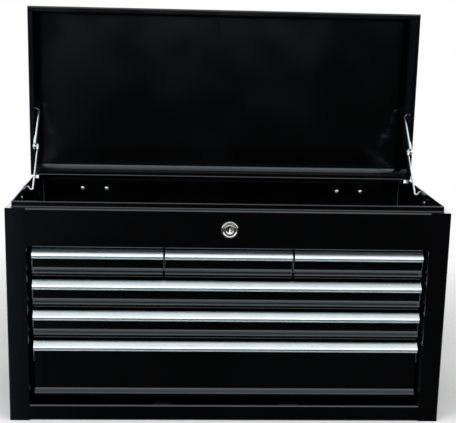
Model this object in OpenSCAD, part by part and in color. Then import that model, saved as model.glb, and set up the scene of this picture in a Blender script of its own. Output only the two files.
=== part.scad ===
// Machinist tool chest: a folded steel case with a lift-up lid over a till, and six drawers on ball slides.
// Millimetres. The origin is the centre of the footprint on the floor, +Z is up and the front faces -Y.
// The model stands as it is used with the lid open: the lid's own pieces are drawn shut and turned back.

/* [Case] */
// Outside width of the case
case_w = 610; // [520:1:760]
// Outside depth of the case, without the pulls and the lid
case_d = 260; // [230:1:340]
// Height of the case up to the ledge that the lid rests on
case_h = 305; // [290:1:380]
// Thickness of the sheet steel
sheet_t = 1; // [0.8:0.1:1.4]
// Width of the face of each front post
post_w = 28; // [22:1:40]
// How far the inner edge of a post slants in towards the drawers
post_slant = 5; // [3:0.5:8]
// Width of the ledge that runs round the top
ledge_w = 8.3; // [7.5:0.1:11]
// Height of the rim that stands up inside the ledge
rim_h = 8; // [7:0.5:12]
// Height of the panel that holds the lock
lock_panel_h = 54; // [50:1:70]
// Height of the rail under the bottom drawer
rail_h = 23.4; // [18:0.2:30]

/* [Lid] */
// Height of the lid's walls
lid_h = 50; // [44:1:70]
// How far the lid reaches past the front of the case
lid_overhang = 2; // [1:0.5:5]
// Outside radius of the lid's front and back top edges
lid_edge_r = 12; // [6:1:18]
// Width of the lip folded in along the lid's lower edge
lid_lip = 7.5; // [5:0.1:7.5]
// Gap between the shut lid and the ledge
lid_gap = 0.3; // [0.2:0.1:0.8]

/* [Drawers] */
// Height from the top of one row of drawers to the next
row_pitch = 44; // [38:1:50]
// Height of the open slot between one front and the pull below it
finger_gap = 5.5; // [5:0.5:9]
// How far the fronts stand back behind the lock panel and the rail
front_inset = 8; // [5:0.5:8]
// How far the foot of each front flares out
front_flare = 4.6; // [3.5:0.1:6]
// Radius of the hollow curve at the top of that flare
flare_r = 7; // [3:0.5:8]
// Distance from the middle of the case to each divider of the top row
split_x = 89.5; // [75:0.5:110]
// Gap between two fronts in the top row
front_gap = 3; // [2:0.5:5]
// Gap between a front and the post beside it
side_gap = 2; // [1:0.5:4]
// Height of the gap between the bottom drawer and the rail
sill_gap = 11.6; // [10:0.2:20]
// Distance from the back of a drawer's box to the back ends of its slides
tray_inset = 9; // [2:1:48]

/* [Pulls] */
// Height of a pull
pull_h = 13; // [12:0.5:18]
// How far a pull stands out from the front
pull_out = 9; // [7:0.5:12]

/* [Slides] */
// Distance from the back ends of the slides to the back of the case
slide_inset = 11; // [8:1:46]
// Height of a slide
slide_h = 20; // [17:0.5:24]
// Thickness of a slide from the drawer's side to its mount
slide_t = 10; // [9.5:0.1:12]
// Thickness of the slide's steel
slide_steel = 1; // [0.8:0.1:1.2]
// Diameter of a slide's balls
ball_d = 3.2; // [2.8:0.1:3.4]
// Length of a ball cage
cage_len = 40; // [30:1:44]

/* [Hinges] */
// Distance from the middle of the case to the middle of each hinge
hinge_x = 204; // [160:1:220]
// Length of a hinge
hinge_len = 56; // [50:1:80]
// Outside radius of a hinge knuckle
knuckle_r = 3; // [2.6:0.1:4]
// Radius of a hinge pin
hinge_pin_r = 1.5; // [1.2:0.1:1.8]
// Thickness of a hinge leaf
leaf_t = 1.2; // [1:0.1:1.6]
// Distance between the two rivets of a leaf
rivet_pitch = 38; // [30:1:44]
// Radius of a rivet's shank
rivet_r = 1.9; // [1.5:0.1:2.4]

/* [Lid stays] */
// Diameter of the stay wire
wire_d = 3.5; // [3:0.1:3.8]
// Distance from the hinge line forward to the stay's pivot on the case
stay_case_fwd = 114.4; // [105:0.1:120]
// Distance from the hinge line to the stay's pivot, along the lid
stay_lid_fwd = 108; // [100:1:108]
// Height of the stay's pivot above the edge of the shut lid
stay_lid_up = 12; // [12:0.5:16]

/* [Lock] */
// Radius of the lock's bezel
bezel_r = 12; // [11.5:0.1:14]
// Radius of the lock's barrel
barrel_r = 9.5; // [8.5:0.1:10]
// Radius of the plug that turns
plug_r = 7; // [6:0.1:7.5]
// Height of the lock's centre below the ledge
lock_drop = 27; // [25:0.5:28]
// Reach of the cam from the lock's centre
cam_reach = 20; // [18:0.5:21]
// How far the lid pushes the drawer lock down
lock_stroke = 5; // [4:0.5:6]

/* [Side handles] */
// Distance between the two ears of a side handle
handle_span = 98; // [86:1:120]
// Diameter of the handle's rod
bail_d = 6; // [5:0.5:7]
// How far the handle hangs below its ears
bail_drop = 38; // [32:1:50]
// Distance of the handle's ears below the ledge
handle_drop = 21; // [18:1:40]

/* [Hidden] */
$fn = 48;

// Colours
black = [0.03, 0.03, 0.035];
zinc = [0.72, 0.74, 0.76];
silver = [0.84, 0.86, 0.88];
chrome = [0.88, 0.89, 0.9];
rail_grey = [0.5, 0.51, 0.53];

// Clearances
running = 0.05;     // round a pin that turns, on the radius
free = 0.3;         // beside a piece that moves past another
fastener_gap = 0.1; // round a rivet's shank

// Faces of the case
side_x = case_w / 2;
wall_x = side_x - sheet_t;
front_y = -case_d / 2;
back_y = case_d / 2;
panel_y = front_y + sheet_t;          // face of the lock panel and the rail
drawer_y = panel_y + front_inset;      // face of the drawer fronts
post_x = side_x - post_w;
open_x = post_x - post_slant;         // half the width of the drawer opening
rim_x = side_x - ledge_w;             // outer face of the rim
rim_top = case_h + rim_h;
open_top = case_h - lock_panel_h;     // underside of the lock panel
floor_z = open_top + sheet_t;         // underside of the till's floor
flange = 14;                          // width of the welding flanges
slant_d = 12;                         // depth of the slanted edge of a post
mount_flange = 18;                    // depth of the face that carries a slide's front end
panel_x = rim_x - sheet_t + free;     // half the width of the lock panel and the rail
back_ledge_x = rim_x;                 // half the width of the back panel's ledge
back_rim_x = rim_x - 6;               // half the width of the back panel's rim
shelf_d = 15;                         // depth of the fold under the lock panel
bend_r = 1.2;                         // inside radius of a fold
hem_w = 2.2;                          // thickness of the hem that closes the rim's top edge
hem_len = 5;                          // height of that hem
hem_r = 0.05;                         // inside radius of each half of the hem's turn
side_rim_y = front_y + ledge_w + hem_w + free;   // front end of the side rims
side_rim_end = back_y - ledge_w;      // back end of the side rims, clear of the shut lid's lip
pan_flange = 12;                      // height of the bottom pan's welding flanges
till_flange = 6;                      // height of the till floor's welding flanges
rail_fold = 10;                       // depth of the fold along the top of the front rail
stop_half = 14;                       // half the width of a drawer stop

// Drawers: heights are counted from the top of each row
top_gap = 3;
function row_top(row) = open_top - top_gap - row * row_pitch;
last_row = 3;
front_h = row_pitch - finger_gap;
flare_foot = 5;                       // height of the flare's outer corner above the foot of a front
flare_edge_r = 2.4;                   // inside radius of the fold at that corner
front_steps = 7;                      // facets of each of a front's folds
box_lift = 1.5;                       // height of a box's underside above the foot of its front
box_drop = 8;                         // depth of a box's rim below the top of its front
bottom_h = row_top(last_row) - rail_h - sill_gap;
slide_y = front_y + slant_d + 2 * sheet_t;       // front end of the slides, behind the post's slanted edge
slide_len = back_y - slide_inset - slide_y;
slide_centre = -22;                   // middle of a slide, from the top of its row
tray_len = slide_y + slide_len - tray_inset - drawer_y;
box_back = drawer_y + tray_len;        // outer face of a drawer box's back
box_x = open_x - slide_t;             // outer face of a wide drawer's sides
split_wall = sheet_t / 2;             // half the thickness of a divider
upright_w = 26;
upright_past = 5;                     // how far an upright reaches past the slides' back ends
upright_y = slide_y + slide_len - upright_w + upright_past;

// Left and right side of each drawer's box: the top row's three, then the wide ones downwards
inner_box = split_x + split_wall + slide_t;     // side of an outer top drawer that faces the divider
middle_box = split_x - split_wall - slide_t;    // half the width of the middle top drawer's box
side_drawer_x = (inner_box + box_x) / 2;
drawer_box = [[-box_x, -inner_box], [-middle_box, middle_box], [inner_box, box_x],
    [-box_x, box_x], [-box_x, box_x], [-box_x, box_x]];
top_drawers = 3;                      // drawers side by side in the top row
function drawer_row(i) = max(0, i - top_drawers + 1);
front_half = open_x - side_gap;
outer_split = split_x + front_gap / 2;
inner_split = split_x - front_gap / 2;
front_span = [[-front_half, -outer_split], [-inner_split, inner_split], [outer_split, front_half],
    [-front_half, front_half], [-front_half, front_half], [-front_half, front_half]];
front_return = 9;                     // depth of the fold along the foot of a front

// Pulls
pull_hook = 1;                        // thickness of the hook over the front's top edge
pull_slope_h = 7;                     // height of the slanted part of a pull's face
pull_t = 2.3;                         // thickness of a pull's wall
groove_top = 2.6;                     // height of the groove's upper edge above a pull's foot
groove_h = 1.6;
groove_d = 1.2;

// Slides: across from the drawer's side at 0 to the mount at slide_t, heights from the slide's centre
ball_gap = 0.15;
ball_u = slide_t / 2;
ball_v = slide_h / 2 - slide_steel - ball_d / 2 - ball_gap;
rail_u = 2.5;                         // open edge of the rail
runner_u = slide_t - 3.2;             // outer edges of the runner
runner_v = ball_v - ball_d / 2 - ball_gap;      // half the height of the runner
cage_t = 0.7;
cage_u = slide_t - 2.4;               // inner face of the cage's web
cage_lip = 2.4;                       // how far the cage's flanges reach past the balls' centres
cage_edge = 4;                        // from the cage's end to its first ball
cage_balls = 4;                       // balls in each of the cage's two rows
cage_y = (slide_y + box_back - cage_len) / 2;   // front end of the cages while the drawers are shut
cage_stop = 2.7;                      // length of the stop inside a rail's front end
stop_half_h = 3;

// Hinge line
hinge_y = back_y + knuckle_r + 0.4;
hinge_z = case_h;
leaf_h = 30;
knuckle_half = hinge_len / 6;         // half the length of the middle knuckle
rivet_drop = 15.5;
head_r = 3.2;
head_h = 1.4;

// Lid, as it lies shut
lid_low = case_h + lid_gap;
lid_front = front_y - lid_overhang;
lid_bend_steps = 8;
lid_path = [
    [back_y - lid_lip, lid_low, bend_r], [back_y, lid_low, bend_r],
    [back_y, lid_low + lid_h, lid_edge_r - sheet_t], [lid_front, lid_low + lid_h, lid_edge_r - sheet_t],
    [lid_front, lid_low, bend_r], [lid_front + lid_lip, lid_low, bend_r]];

// Stays: y and z of the pivots as they stand with the lid open
wire_r = wire_d / 2;
stay_case = [hinge_y - stay_case_fwd, case_h + rim_h / 2];
stay_lid = [hinge_y + stay_lid_up, hinge_z + stay_lid_fwd];
stay_elbow = (stay_case + stay_lid) / 2;
stay_dir = (stay_lid - stay_case) / norm(stay_lid - stay_case);
link_len = norm(stay_lid - stay_case) / 2;
elbow_head = 1.25;                    // thickness of the elbow rivet's head
sleeve_len = 22;
sleeve_wall = 1.2;
upper_x = rim_x - hem_w - 0.5 - elbow_head - wire_r;
lower_x = upper_x - wire_d - sleeve_wall - free; // clear of the sleeve as the wires fold past each other
loop_r = wire_r + 2.45;               // middle radius of the loop at the end of a wire
tail_x = rim_x + 0.4 + wire_r;        // plane of the bent tail outside the rim
tail_len = 6;
tail_dir = [cos(150), sin(150)];
bush_t = 3;
bush_r = 5;
peen_t = 1.4;                         // thickness of the peened half of the elbow's rivet

// Lock
lock_z = case_h - lock_drop;
barrel_len = 22;                      // from the panel's face to the barrel's back end
barrel_end = panel_y + barrel_len;
cam_y = barrel_end + 0.2;
cam_t = 2;
cam_w = 9;
keyway_w = 1.8;
keyway_h = 8;
keyway_d = 12;                        // depth of the keyway behind the panel's face
cam_hub_r = 7.5;
tail_r = 4;                           // radius of the plug's tail, which carries the cam
strike_t = 1.5;
strike_foot = 10;                     // width of the strike's welded foot
strike_x = -(barrel_r + 0.8 + strike_t / 2);
strike_y = front_y + ledge_w + sheet_t + 1.5;
strike_back = cam_y + cam_t + 5;

// Drawer lock: a bar behind the drawers, pushed down by the shut lid
bar_t = 1.5;
bar_y = back_y - 2 * sheet_t - 0.5 - bar_t;
bar_half = 12;
rod_r = 2;
rod_inset = 20;                       // distance of the push rods from the sides of the case
rod_x = side_x - rod_inset;
rod_y = bar_y - 1;
rod_top = case_h + lid_gap + lock_stroke - 0.1;
arm_top = open_top - 1;
arm_h = 10;
rod_low = arm_top - arm_h / 2;        // foot of the push rods
catch_h = 8;
guide_h = 8;
guide_lift = 20;                      // height of a guide above the catch below it
guide_t = 3;                          // thickness of the guides' sides
prong_half = 6;
prong_gap = 1;                        // height of a raised prong above its catch
catch_lift = 4;                       // height of a catch above the underside of its drawer's box
catch_end = bar_y - 1.5;
prong_y = catch_end - sheet_t - 3.5 - bar_t;
function front_foot(row) = row_top(row) - (row == last_row ? bottom_h : front_h);
function catch_z(row) = front_foot(row) + box_lift + catch_lift;

// Side handles
plate_t = 1.5;
ear_t = 2;
ear_r = 6;
plate_up = 14;                        // height of a handle's plate above its ears
plate_down = 30;                      // depth of the plate below its ears
handle_z = case_h - handle_drop;
bail_r = bail_d / 2;
bail_x = side_x + plate_t + bail_r + 2;
bail_half = handle_span / 2 - ear_t - bail_r - 1;
handle_rivet_y = 28;
handle_rivets_z = [handle_z + 7, floor_z + till_flange + head_r + free];

// ---- helpers ----

// A box between two opposite corners
module block(low, high) translate(low) cube(high - low);

// The same shape on the left-hand side
module other_side() mirror([1, 0, 0]) children();

function unit(v) = v / norm(v);
function flat2(p) = [p[0], p[1]];
function left(v) = [-v[1], v[0]];
function turned(v, a) = [v[0] * cos(a) - v[1] * sin(a), v[0] * sin(a) + v[1] * cos(a)];
function reversed(v) = [for (i = [len(v) - 1 : -1 : 0]) v[i]];

// The arc that a fold leaves on the face at distance off to the left of the path
function fold_arc(p, d1, d2, off, steps) =
    let (s = cross(d1, d2) > 0 ? 1 : -1,
         ang = acos(d1 * d2),
         r = s > 0 ? p[2] + sheet_t : p[2],
         c = flat2(p) - d1 * r * tan(ang / 2) + left(d1) * s * r)
    [for (k = [0 : steps]) c - turned(left(d1), s * ang * k / steps) * s * (r - s * off)];
function face(path, off, steps) =
    let (n = len(path) - 1, q = [for (p = path) flat2(p)])
    concat([q[0] + left(unit(q[1] - q[0])) * off],
        [for (i = [1 : 1 : n - 1])
            each fold_arc(path[i], unit(q[i] - q[i - 1]), unit(q[i + 1] - q[i]), off, steps)],
        [q[n] + left(unit(q[n] - q[n - 1])) * off]);

// A strip of sheet bent along a path of [x, y, inside radius], with its thickness to the left of the path
module folded(path, steps = 3)
    polygon(concat(face(path, 0, steps), reversed(face(path, sheet_t, steps))));

// A shape drawn in the Y-Z plane and carried along X
module along_x(x0, x1)
    translate([x0, 0, 0]) rotate([90, 0, 90]) linear_extrude(x1 - x0) children();

// A shape drawn in the X-Z plane and carried along Y
module along_y(y0, y1) translate([0, y1, 0]) rotate([90, 0, 0]) linear_extrude(y1 - y0) children();

// A cylinder along X or Y
module rod_along_x(r, x0, x1, y, z) translate([x0, y, z]) rotate([0, 90, 0]) cylinder(r = r, h = x1 - x0);
module rod_along_y(r, y0, y1, x, z) translate([x, y0, z]) rotate([-90, 0, 0]) cylinder(r = r, h = y1 - y0);

// A straight length of wire in the plane at x, between two [y, z] points
module wire(x, p, q) {
    v = q - p;
    translate([x, p[0], p[1]]) rotate([atan2(v[1], v[0]) - 90, 0, 0]) cylinder(r = wire_r, h = norm(v));
}

// A ring of wire round a point in the plane at x
module wire_loop(x, p)
    translate([x, p[0], p[1]]) rotate([0, 90, 0])
        rotate_extrude() translate([loop_r, 0]) circle(r = wire_r, $fn = 24);

module wire_knee(x, p) translate([x, p[0], p[1]]) sphere(r = wire_r, $fn = 24);

// A domed rivet along Y: the heads lie outside the two faces
module rivet_y(x, z, y0, y1) {
    rod_along_y(rivet_r, y0, y1, x, z);
    rod_along_y(head_r, y0 - head_h, y0, x, z);
    rod_along_y(head_r, y1, y1 + head_h, x, z);
}

// Turns what is drawn with the lid shut back to where it stands open
module lid_open()
    translate([0, hinge_y, hinge_z]) rotate([-90, 0, 0]) translate([0, -hinge_y, -hinge_z]) children();

// ---- case ----

// The ledge and the rim as a path across the sheet, from the wall's face at wall inwards (dir = 1 or -1)
function ledge_path(wall, dir) = [[wall, case_h - hem_len, bend_r], [wall, case_h, bend_r],
    [wall + dir * ledge_w, case_h, bend_r], [wall + dir * ledge_w, rim_top, hem_r],
    [wall + dir * (ledge_w + hem_w), rim_top, hem_r],
    [wall + dir * (ledge_w + hem_w), rim_top - hem_len, bend_r]];

module side_sheet() {
    difference() {
        union() {
            // Outer wall, with the post's face in front; its top edge is rounded where the ledge is folded
            intersection() {
                union() {
                    linear_extrude(case_h) folded([
                        [post_x, front_y, bend_r], [side_x, front_y, bend_r], [side_x, back_y, bend_r]]);
                    block([rim_x, front_y + sheet_t / 2, case_h - sheet_t],
                        [side_x - bend_r, front_y + 2 * bend_r + sheet_t, case_h]);
                }
                along_y(front_y - 1, back_y + 1) polygon(concat([[0, -1]],
                    face([[side_x, -1, 0], [side_x, case_h, bend_r], [0, case_h, 0]], 0, 3)));
            }
            // Welding flange behind
            block([wall_x - flange, back_y - 2 * sheet_t, sheet_t],
                [wall_x + sheet_t / 2, back_y - sheet_t, case_h - sheet_t]);
            // The post's slanted edge and the face that carries the slides
            translate([0, 0, rail_h + 1]) linear_extrude(open_top - rail_h - 2) folded([
                [open_x, front_y + slant_d + mount_flange, bend_r], [open_x, front_y + slant_d, bend_r],
                [post_x, front_y, bend_r], [post_x + post_w / 2, front_y, bend_r]]);
            // Ledge, and between its ends the rim
            for (span = [[front_y + bend_r + sheet_t, side_rim_y], [side_rim_end, back_y - sheet_t]])
                along_y(span[0], span[1]) folded([
                    [side_x, case_h - hem_len, bend_r], [side_x, case_h, bend_r], [rim_x, case_h, bend_r]]);
            along_y(side_rim_y, side_rim_end) folded(ledge_path(side_x, -1));
        }
        rod_along_x(wire_r + running, rim_x - hem_w - sheet_t, rim_x + sheet_t, stay_case[0], stay_case[1]);
        for (y = [-handle_rivet_y, handle_rivet_y], z = handle_rivets_z)
            rod_along_x(rivet_r + fastener_gap, wall_x - sheet_t, side_x + sheet_t, y, z);
    }
}

module side_panel_right() color(black) side_sheet();
module side_panel_left() color(black) other_side() side_sheet();

// A bridge pressed out of the back panel, in which the drawer lock bar slides
module bar_guide(z) {
    reach = bar_half + free;
    for (s = [0, 1]) mirror([s, 0, 0])
        block([reach, bar_y - free - sheet_t, z], [reach + guide_t, back_y - sheet_t / 2, z + guide_h]);
    block([-reach - 1, bar_y - free - sheet_t, z], [reach + 1, bar_y - free, z + guide_h]);
}

// The back panel's rim stops short of the side rims, and a hole in its ledge takes each push rod
module back_panel() color(black) {
    difference() {
        union() {
            block([-wall_x, back_y - sheet_t, 0], [wall_x, back_y, case_h - hem_len]);
            for (s = [0, 1]) mirror([s, 0, 0])
                block([back_ledge_x - 1, back_y - sheet_t, case_h - hem_len - 1], [wall_x, back_y, case_h]);
            along_x(-back_ledge_x, back_ledge_x) folded([[back_y, case_h - hem_len, bend_r],
                [back_y, case_h, bend_r], [back_y - ledge_w + bend_r, case_h, bend_r]]);
            along_x(-back_rim_x, back_rim_x) folded(ledge_path(back_y, -1));
        }
        for (s = [-1, 1], k = [-1, 1])
            rod_along_y(rivet_r + fastener_gap, back_y - 2 * sheet_t, back_y + sheet_t,
                s * hinge_x + k * rivet_pitch / 2, hinge_z - rivet_drop);
        for (s = [-1, 1])
            translate([s * rod_x, rod_y, case_h - 2 * sheet_t]) cylinder(r = rod_r + free, h = 3 * sheet_t);
    }
    for (row = [1, last_row]) bar_guide(catch_z(row) + guide_lift);
}

module bottom_pan() color(black) {
    // Front rail, folded back along its top and up from the pan
    along_x(-panel_x, panel_x) folded([
        [panel_y + rail_fold, rail_h, bend_r], [panel_y, rail_h, bend_r], [panel_y, 0, bend_r],
        [back_y - sheet_t, 0, bend_r]]);
    for (s = [0, 1]) mirror([s, 0, 0]) {
        block([panel_x - 1, panel_y + sheet_t, 0], [wall_x, back_y - sheet_t, sheet_t]);
        block([wall_x - sheet_t, front_y + flange, 0], [wall_x, back_y - 2 * sheet_t, pan_flange]);
        // Small stop pressed up from the rail under each side of the bottom drawer
        block([split_x - stop_half, panel_y + 3, rail_h - sheet_t],
            [split_x + stop_half, panel_y + 8, rail_h + 4]);
    }
    block([flange - wall_x + 1, back_y - 2 * sheet_t, 0],
        [wall_x - flange - 1, back_y - sheet_t, pan_flange]);
}

module lock_panel() color(black) difference() {
    union() {
        along_x(-panel_x, panel_x) folded(concat(
            [for (i = [5 : -1 : 2]) ledge_path(front_y, 1)[i]], [[panel_y, case_h, bend_r],
            [panel_y, open_top, bend_r], [panel_y + shelf_d, open_top, bend_r]]));
    }
    rod_along_y(barrel_r + fastener_gap, panel_y - sheet_t, panel_y + 2 * sheet_t, 0, lock_z);
}

module till_floor() color(black) difference() {
    union() {
        block([-wall_x, panel_y + sheet_t + bend_r, floor_z],
            [wall_x, back_y - 2 * sheet_t, floor_z + sheet_t]);
        for (s = [0, 1]) mirror([s, 0, 0])
            block([wall_x - sheet_t, front_y + flange, floor_z],
                [wall_x, back_y - flange, floor_z + till_flange]);
    }
    for (s = [-1, 1])
        translate([s * rod_x, rod_y, floor_z - 1]) cylinder(r = rod_r + free, h = 3 * sheet_t);
}

// A partition that hangs from the till's floor: its top and foot are folded outwards
module divider() {
    y0 = panel_y + shelf_d + 1;
    y1 = slide_y + slide_len;
    inner = split_x - split_wall;
    foot = row_top(1) + 5;
    translate([0, y1, 0]) rotate([90, 0, 0]) linear_extrude(y1 - y0) folded([
        [inner + flange, floor_z, bend_r], [inner, floor_z, bend_r],
        [inner, foot, bend_r], [inner + flange, foot, bend_r]]);
}

module divider_right() color(black) divider();
module divider_left() color(black) other_side() divider();

// An upright channel near the back, open towards the wall, that carries the slides' back ends
module upright() {
    low = pan_flange + 2;
    high = arm_top - arm_h - 2;
    translate([0, 0, low]) linear_extrude(high - low) folded([
        [wall_x, upright_y + upright_w, bend_r], [open_x, upright_y + upright_w, bend_r],
        [open_x, upright_y, bend_r], [wall_x, upright_y, bend_r]]);
}

module rear_uprights() color(black) { upright(); other_side() upright(); }

// A domed rivet along X, with its heads outside the two faces
module rivet_x(x0, x1, y, z) {
    rod_along_x(rivet_r, x0, x1, y, z);
    rod_along_x(head_r, x0 - head_h, x0, y, z);
    rod_along_x(head_r, x1, x1 + head_h, y, z);
}

module case_rivets() color(zinc) for (s = [0, 1]) mirror([s, 0, 0]) {
    for (k = [-1, 1])
        rivet_y(hinge_x + k * rivet_pitch / 2, hinge_z - rivet_drop, back_y - sheet_t, back_y + leaf_t);
    for (y = [-handle_rivet_y, handle_rivet_y], z = handle_rivets_z)
        rivet_x(wall_x, side_x + plate_t, y, z);
}

// ---- lid, drawn shut ----

module lid_shell() color(black) lid_open() difference() {
    union() {
        along_x(-wall_x - sheet_t / 2, wall_x + sheet_t / 2) folded(lid_path, lid_bend_steps);
        for (s = [0, 1]) mirror([s, 0, 0]) {
            along_x(wall_x, side_x) polygon(face(lid_path, 0, lid_bend_steps));
            block([side_x - lid_lip, lid_front + lid_lip - 1, lid_low],
                [wall_x + sheet_t / 2, back_y - lid_lip + 1, lid_low + sheet_t]);
        }
    }
    for (s = [-1, 1], k = [-1, 1])
        rod_along_y(rivet_r + fastener_gap, back_y - 2 * sheet_t, back_y + sheet_t,
            s * hinge_x + k * rivet_pitch / 2, hinge_z + rivet_drop);
}

// The plate that the lock's cam holds: its foot is welded to the lid's front wall
module lid_strike() color(black) lid_open() {
    foot_z = rim_top + 2;
    foot_h = 20;
    window = cam_w / 2 + 2.5;
    x0 = strike_x - strike_t / 2;
    x1 = strike_x + strike_t / 2;
    difference() {
        union() {
            block([x0, lid_front + sheet_t, foot_z], [x1, strike_back, foot_z + foot_h]);
            block([x0, strike_y, lock_z - window - 5], [x1, strike_back, foot_z + foot_h]);
            block([x0, lid_front + sheet_t, foot_z],
                [x1 + strike_foot, lid_front + sheet_t + strike_t, foot_z + foot_h]);
        }
        block([x0 - 1, cam_y - 1.5, lock_z - window], [x1 + 1, cam_y + cam_t + 1.5, lock_z + window]);
    }
}

module lid_bushes() color(zinc) lid_open() for (s = [0, 1]) mirror([s, 0, 0]) difference() {
    y = hinge_y - stay_lid_fwd;
    z = hinge_z + stay_lid_up;
    rod_along_x(bush_r, wall_x - bush_t, wall_x, y, z);
    rod_along_x(wire_r + running, wall_x - bush_t - 1, wall_x - 0.5, y, z);
}

// ---- hinges ----

// Half of a butt hinge below the hinge line, with its knuckles over the given stretches
module leaf(stretches) difference() {
    union() {
        block([-hinge_len / 2, back_y, hinge_z - leaf_h],
            [hinge_len / 2, back_y + leaf_t, hinge_z - knuckle_r - 0.5]);
        for (k = stretches) {
            block([k[0], back_y, hinge_z - knuckle_r - 1], [k[1], back_y + leaf_t, hinge_z]);
            rod_along_x(knuckle_r, k[0], k[1], hinge_y, hinge_z);
        }
    }
    rod_along_x(hinge_pin_r + running, -hinge_len, hinge_len, hinge_y, hinge_z);
    for (k = [-1, 1])
        rod_along_y(rivet_r + fastener_gap, back_y - 1, back_y + leaf_t + 1,
            k * rivet_pitch / 2, hinge_z - rivet_drop);
}

module hinge_case_leaves() color(zinc) for (s = [-1, 1]) translate([s * hinge_x, 0, 0])
    leaf([[-hinge_len / 2, -knuckle_half - free / 2], [knuckle_half + free / 2, hinge_len / 2]]);

module hinge_lid_leaves() color(zinc) lid_open() for (s = [-1, 1]) translate([s * hinge_x, 0, 2 * hinge_z])
    mirror([0, 0, 1]) leaf([[-knuckle_half + free / 2, knuckle_half - free / 2]]);

module hinge_pins() color(zinc) for (s = [-1, 1]) translate([s * hinge_x, 0, 0]) {
    rod_along_x(hinge_pin_r, -hinge_len / 2 - 0.5, hinge_len / 2 + 0.5, hinge_y, hinge_z);
    for (k = [0, 1]) mirror([k, 0, 0])
        rod_along_x(hinge_pin_r + 0.7, hinge_len / 2, hinge_len / 2 + 1, hinge_y, hinge_z);
}

module hinge_lid_rivets() color(zinc) lid_open() for (s = [-1, 1], k = [-1, 1])
    rivet_y(s * hinge_x + k * rivet_pitch / 2, hinge_z + rivet_drop, back_y - sheet_t, back_y + leaf_t);

// ---- lid stays, on the right-hand side ----

// Upper wire: a pin in the lid's bush, a straight run and a loop round the elbow's rivet
module upper_wire() {
    rod_along_x(wire_r, upper_x, wall_x - 0.8, stay_lid[0], stay_lid[1]);
    wire_knee(upper_x, stay_lid);
    wire(upper_x, stay_lid, stay_elbow + stay_dir * loop_r);
    wire_loop(upper_x, stay_elbow);
}

// Lower wire: a pin through the rim with a bent tail, a straight run and a loop
module lower_wire() {
    tail_end = stay_case + tail_dir * tail_len;
    rod_along_x(wire_r, lower_x, tail_x, stay_case[0], stay_case[1]);
    wire_knee(lower_x, stay_case);
    wire_knee(tail_x, stay_case);
    wire(tail_x, stay_case, tail_end);
    wire(lower_x, stay_case, stay_elbow - stay_dir * loop_r);
    wire_loop(lower_x, stay_elbow);
    // Its own half of the elbow's rivet, peened over
    peen_x = lower_x - wire_r - 0.8;
    rod_along_x(loop_r, peen_x, peen_x + peen_t, stay_elbow[0], stay_elbow[1]);
}

// The other half of the elbow's rivet, which ends just short of the lower wire
module elbow_rivet() {
    rod_along_x(loop_r - wire_r - 0.15, lower_x + wire_r + free, upper_x + wire_r,
        stay_elbow[0], stay_elbow[1]);
    rod_along_x(loop_r, upper_x + wire_r, upper_x + wire_r + elbow_head, stay_elbow[0], stay_elbow[1]);
}

// Sleeve on the upper wire that slides down over the elbow by hand to hold the stay straight
module elbow_sleeve() {
    low = stay_elbow + stay_dir * (loop_r + wire_r + 1);
    translate([upper_x, low[0], low[1]]) rotate([atan2(stay_dir[1], stay_dir[0]) - 90, 0, 0]) difference() {
        cylinder(r = wire_r + sleeve_wall, h = sleeve_len);
        translate([0, 0, -1]) cylinder(r = wire_r + running, h = sleeve_len + 2);
    }
}

module stay_upper_right() color(zinc) upper_wire();
module stay_upper_left() color(zinc) other_side() upper_wire();
module stay_lower_right() color(zinc) lower_wire();
module stay_lower_left() color(zinc) other_side() lower_wire();
module stay_rivet_right() color(zinc) elbow_rivet();
module stay_rivet_left() color(zinc) other_side() elbow_rivet();
module stay_sleeve_right() color(zinc) elbow_sleeve();
module stay_sleeve_left() color(zinc) other_side() elbow_sleeve();

// ---- lock ----

module lock_housing() color(chrome) difference() {
    union() {
        rod_along_y(bezel_r, panel_y - 2, panel_y, 0, lock_z);
        rod_along_y(bezel_r - 1, panel_y - 3, panel_y - 1, 0, lock_z);
        rod_along_y(barrel_r, panel_y - 1, barrel_end, 0, lock_z);
    }
    rod_along_y(plug_r + running, panel_y - 4, barrel_end + 1, 0, lock_z);
    rod_along_y(plug_r + 1.5, panel_y - 4, panel_y - 2, 0, lock_z);
}

module lock_nut() color(zinc) difference() {
    translate([0, panel_y + sheet_t, lock_z]) rotate([-90, 0, 0])
        cylinder(r = barrel_r + 3.2, h = 5, $fn = 6);
    rod_along_y(barrel_r + running, panel_y, panel_y + sheet_t + 6, 0, lock_z);
}

module lock_plug() color(chrome) difference() {
    union() {
        rod_along_y(plug_r, panel_y - 2.6, barrel_end, 0, lock_z);
        rod_along_y(tail_r, barrel_end - 1, cam_y + cam_t, 0, lock_z);
        rod_along_y(tail_r + 1.5, cam_y + cam_t, cam_y + cam_t + 1.2, 0, lock_z);
    }
    // Keyway
    block([-keyway_w / 2, panel_y - 3, lock_z - keyway_h / 2],
        [keyway_w / 2, panel_y + keyway_d, lock_z + keyway_h / 2]);
}

module lock_cam() color(zinc) difference() {
    union() {
        rod_along_y(cam_hub_r, cam_y, cam_y + cam_t, 0, lock_z);
        block([-cam_w / 2, cam_y, lock_z - cam_reach], [cam_w / 2, cam_y + cam_t, lock_z]);
    }
    rod_along_y(tail_r + running, cam_y - 1, cam_y + cam_t + 1, 0, lock_z);
}

// A hook of the lock bar: an arm forward over the drawer's catch, with a prong at its end
module prong(x, row) {
    low = catch_z(row) + catch_h + prong_gap;
    arm_z = low + lock_stroke;
    block([x - prong_half, prong_y, low], [x + prong_half, prong_y + bar_t, arm_z + bar_t]);
    block([x - prong_half, prong_y, arm_z], [x + prong_half, bar_y + bar_t / 2, arm_z + bar_t]);
}

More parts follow.
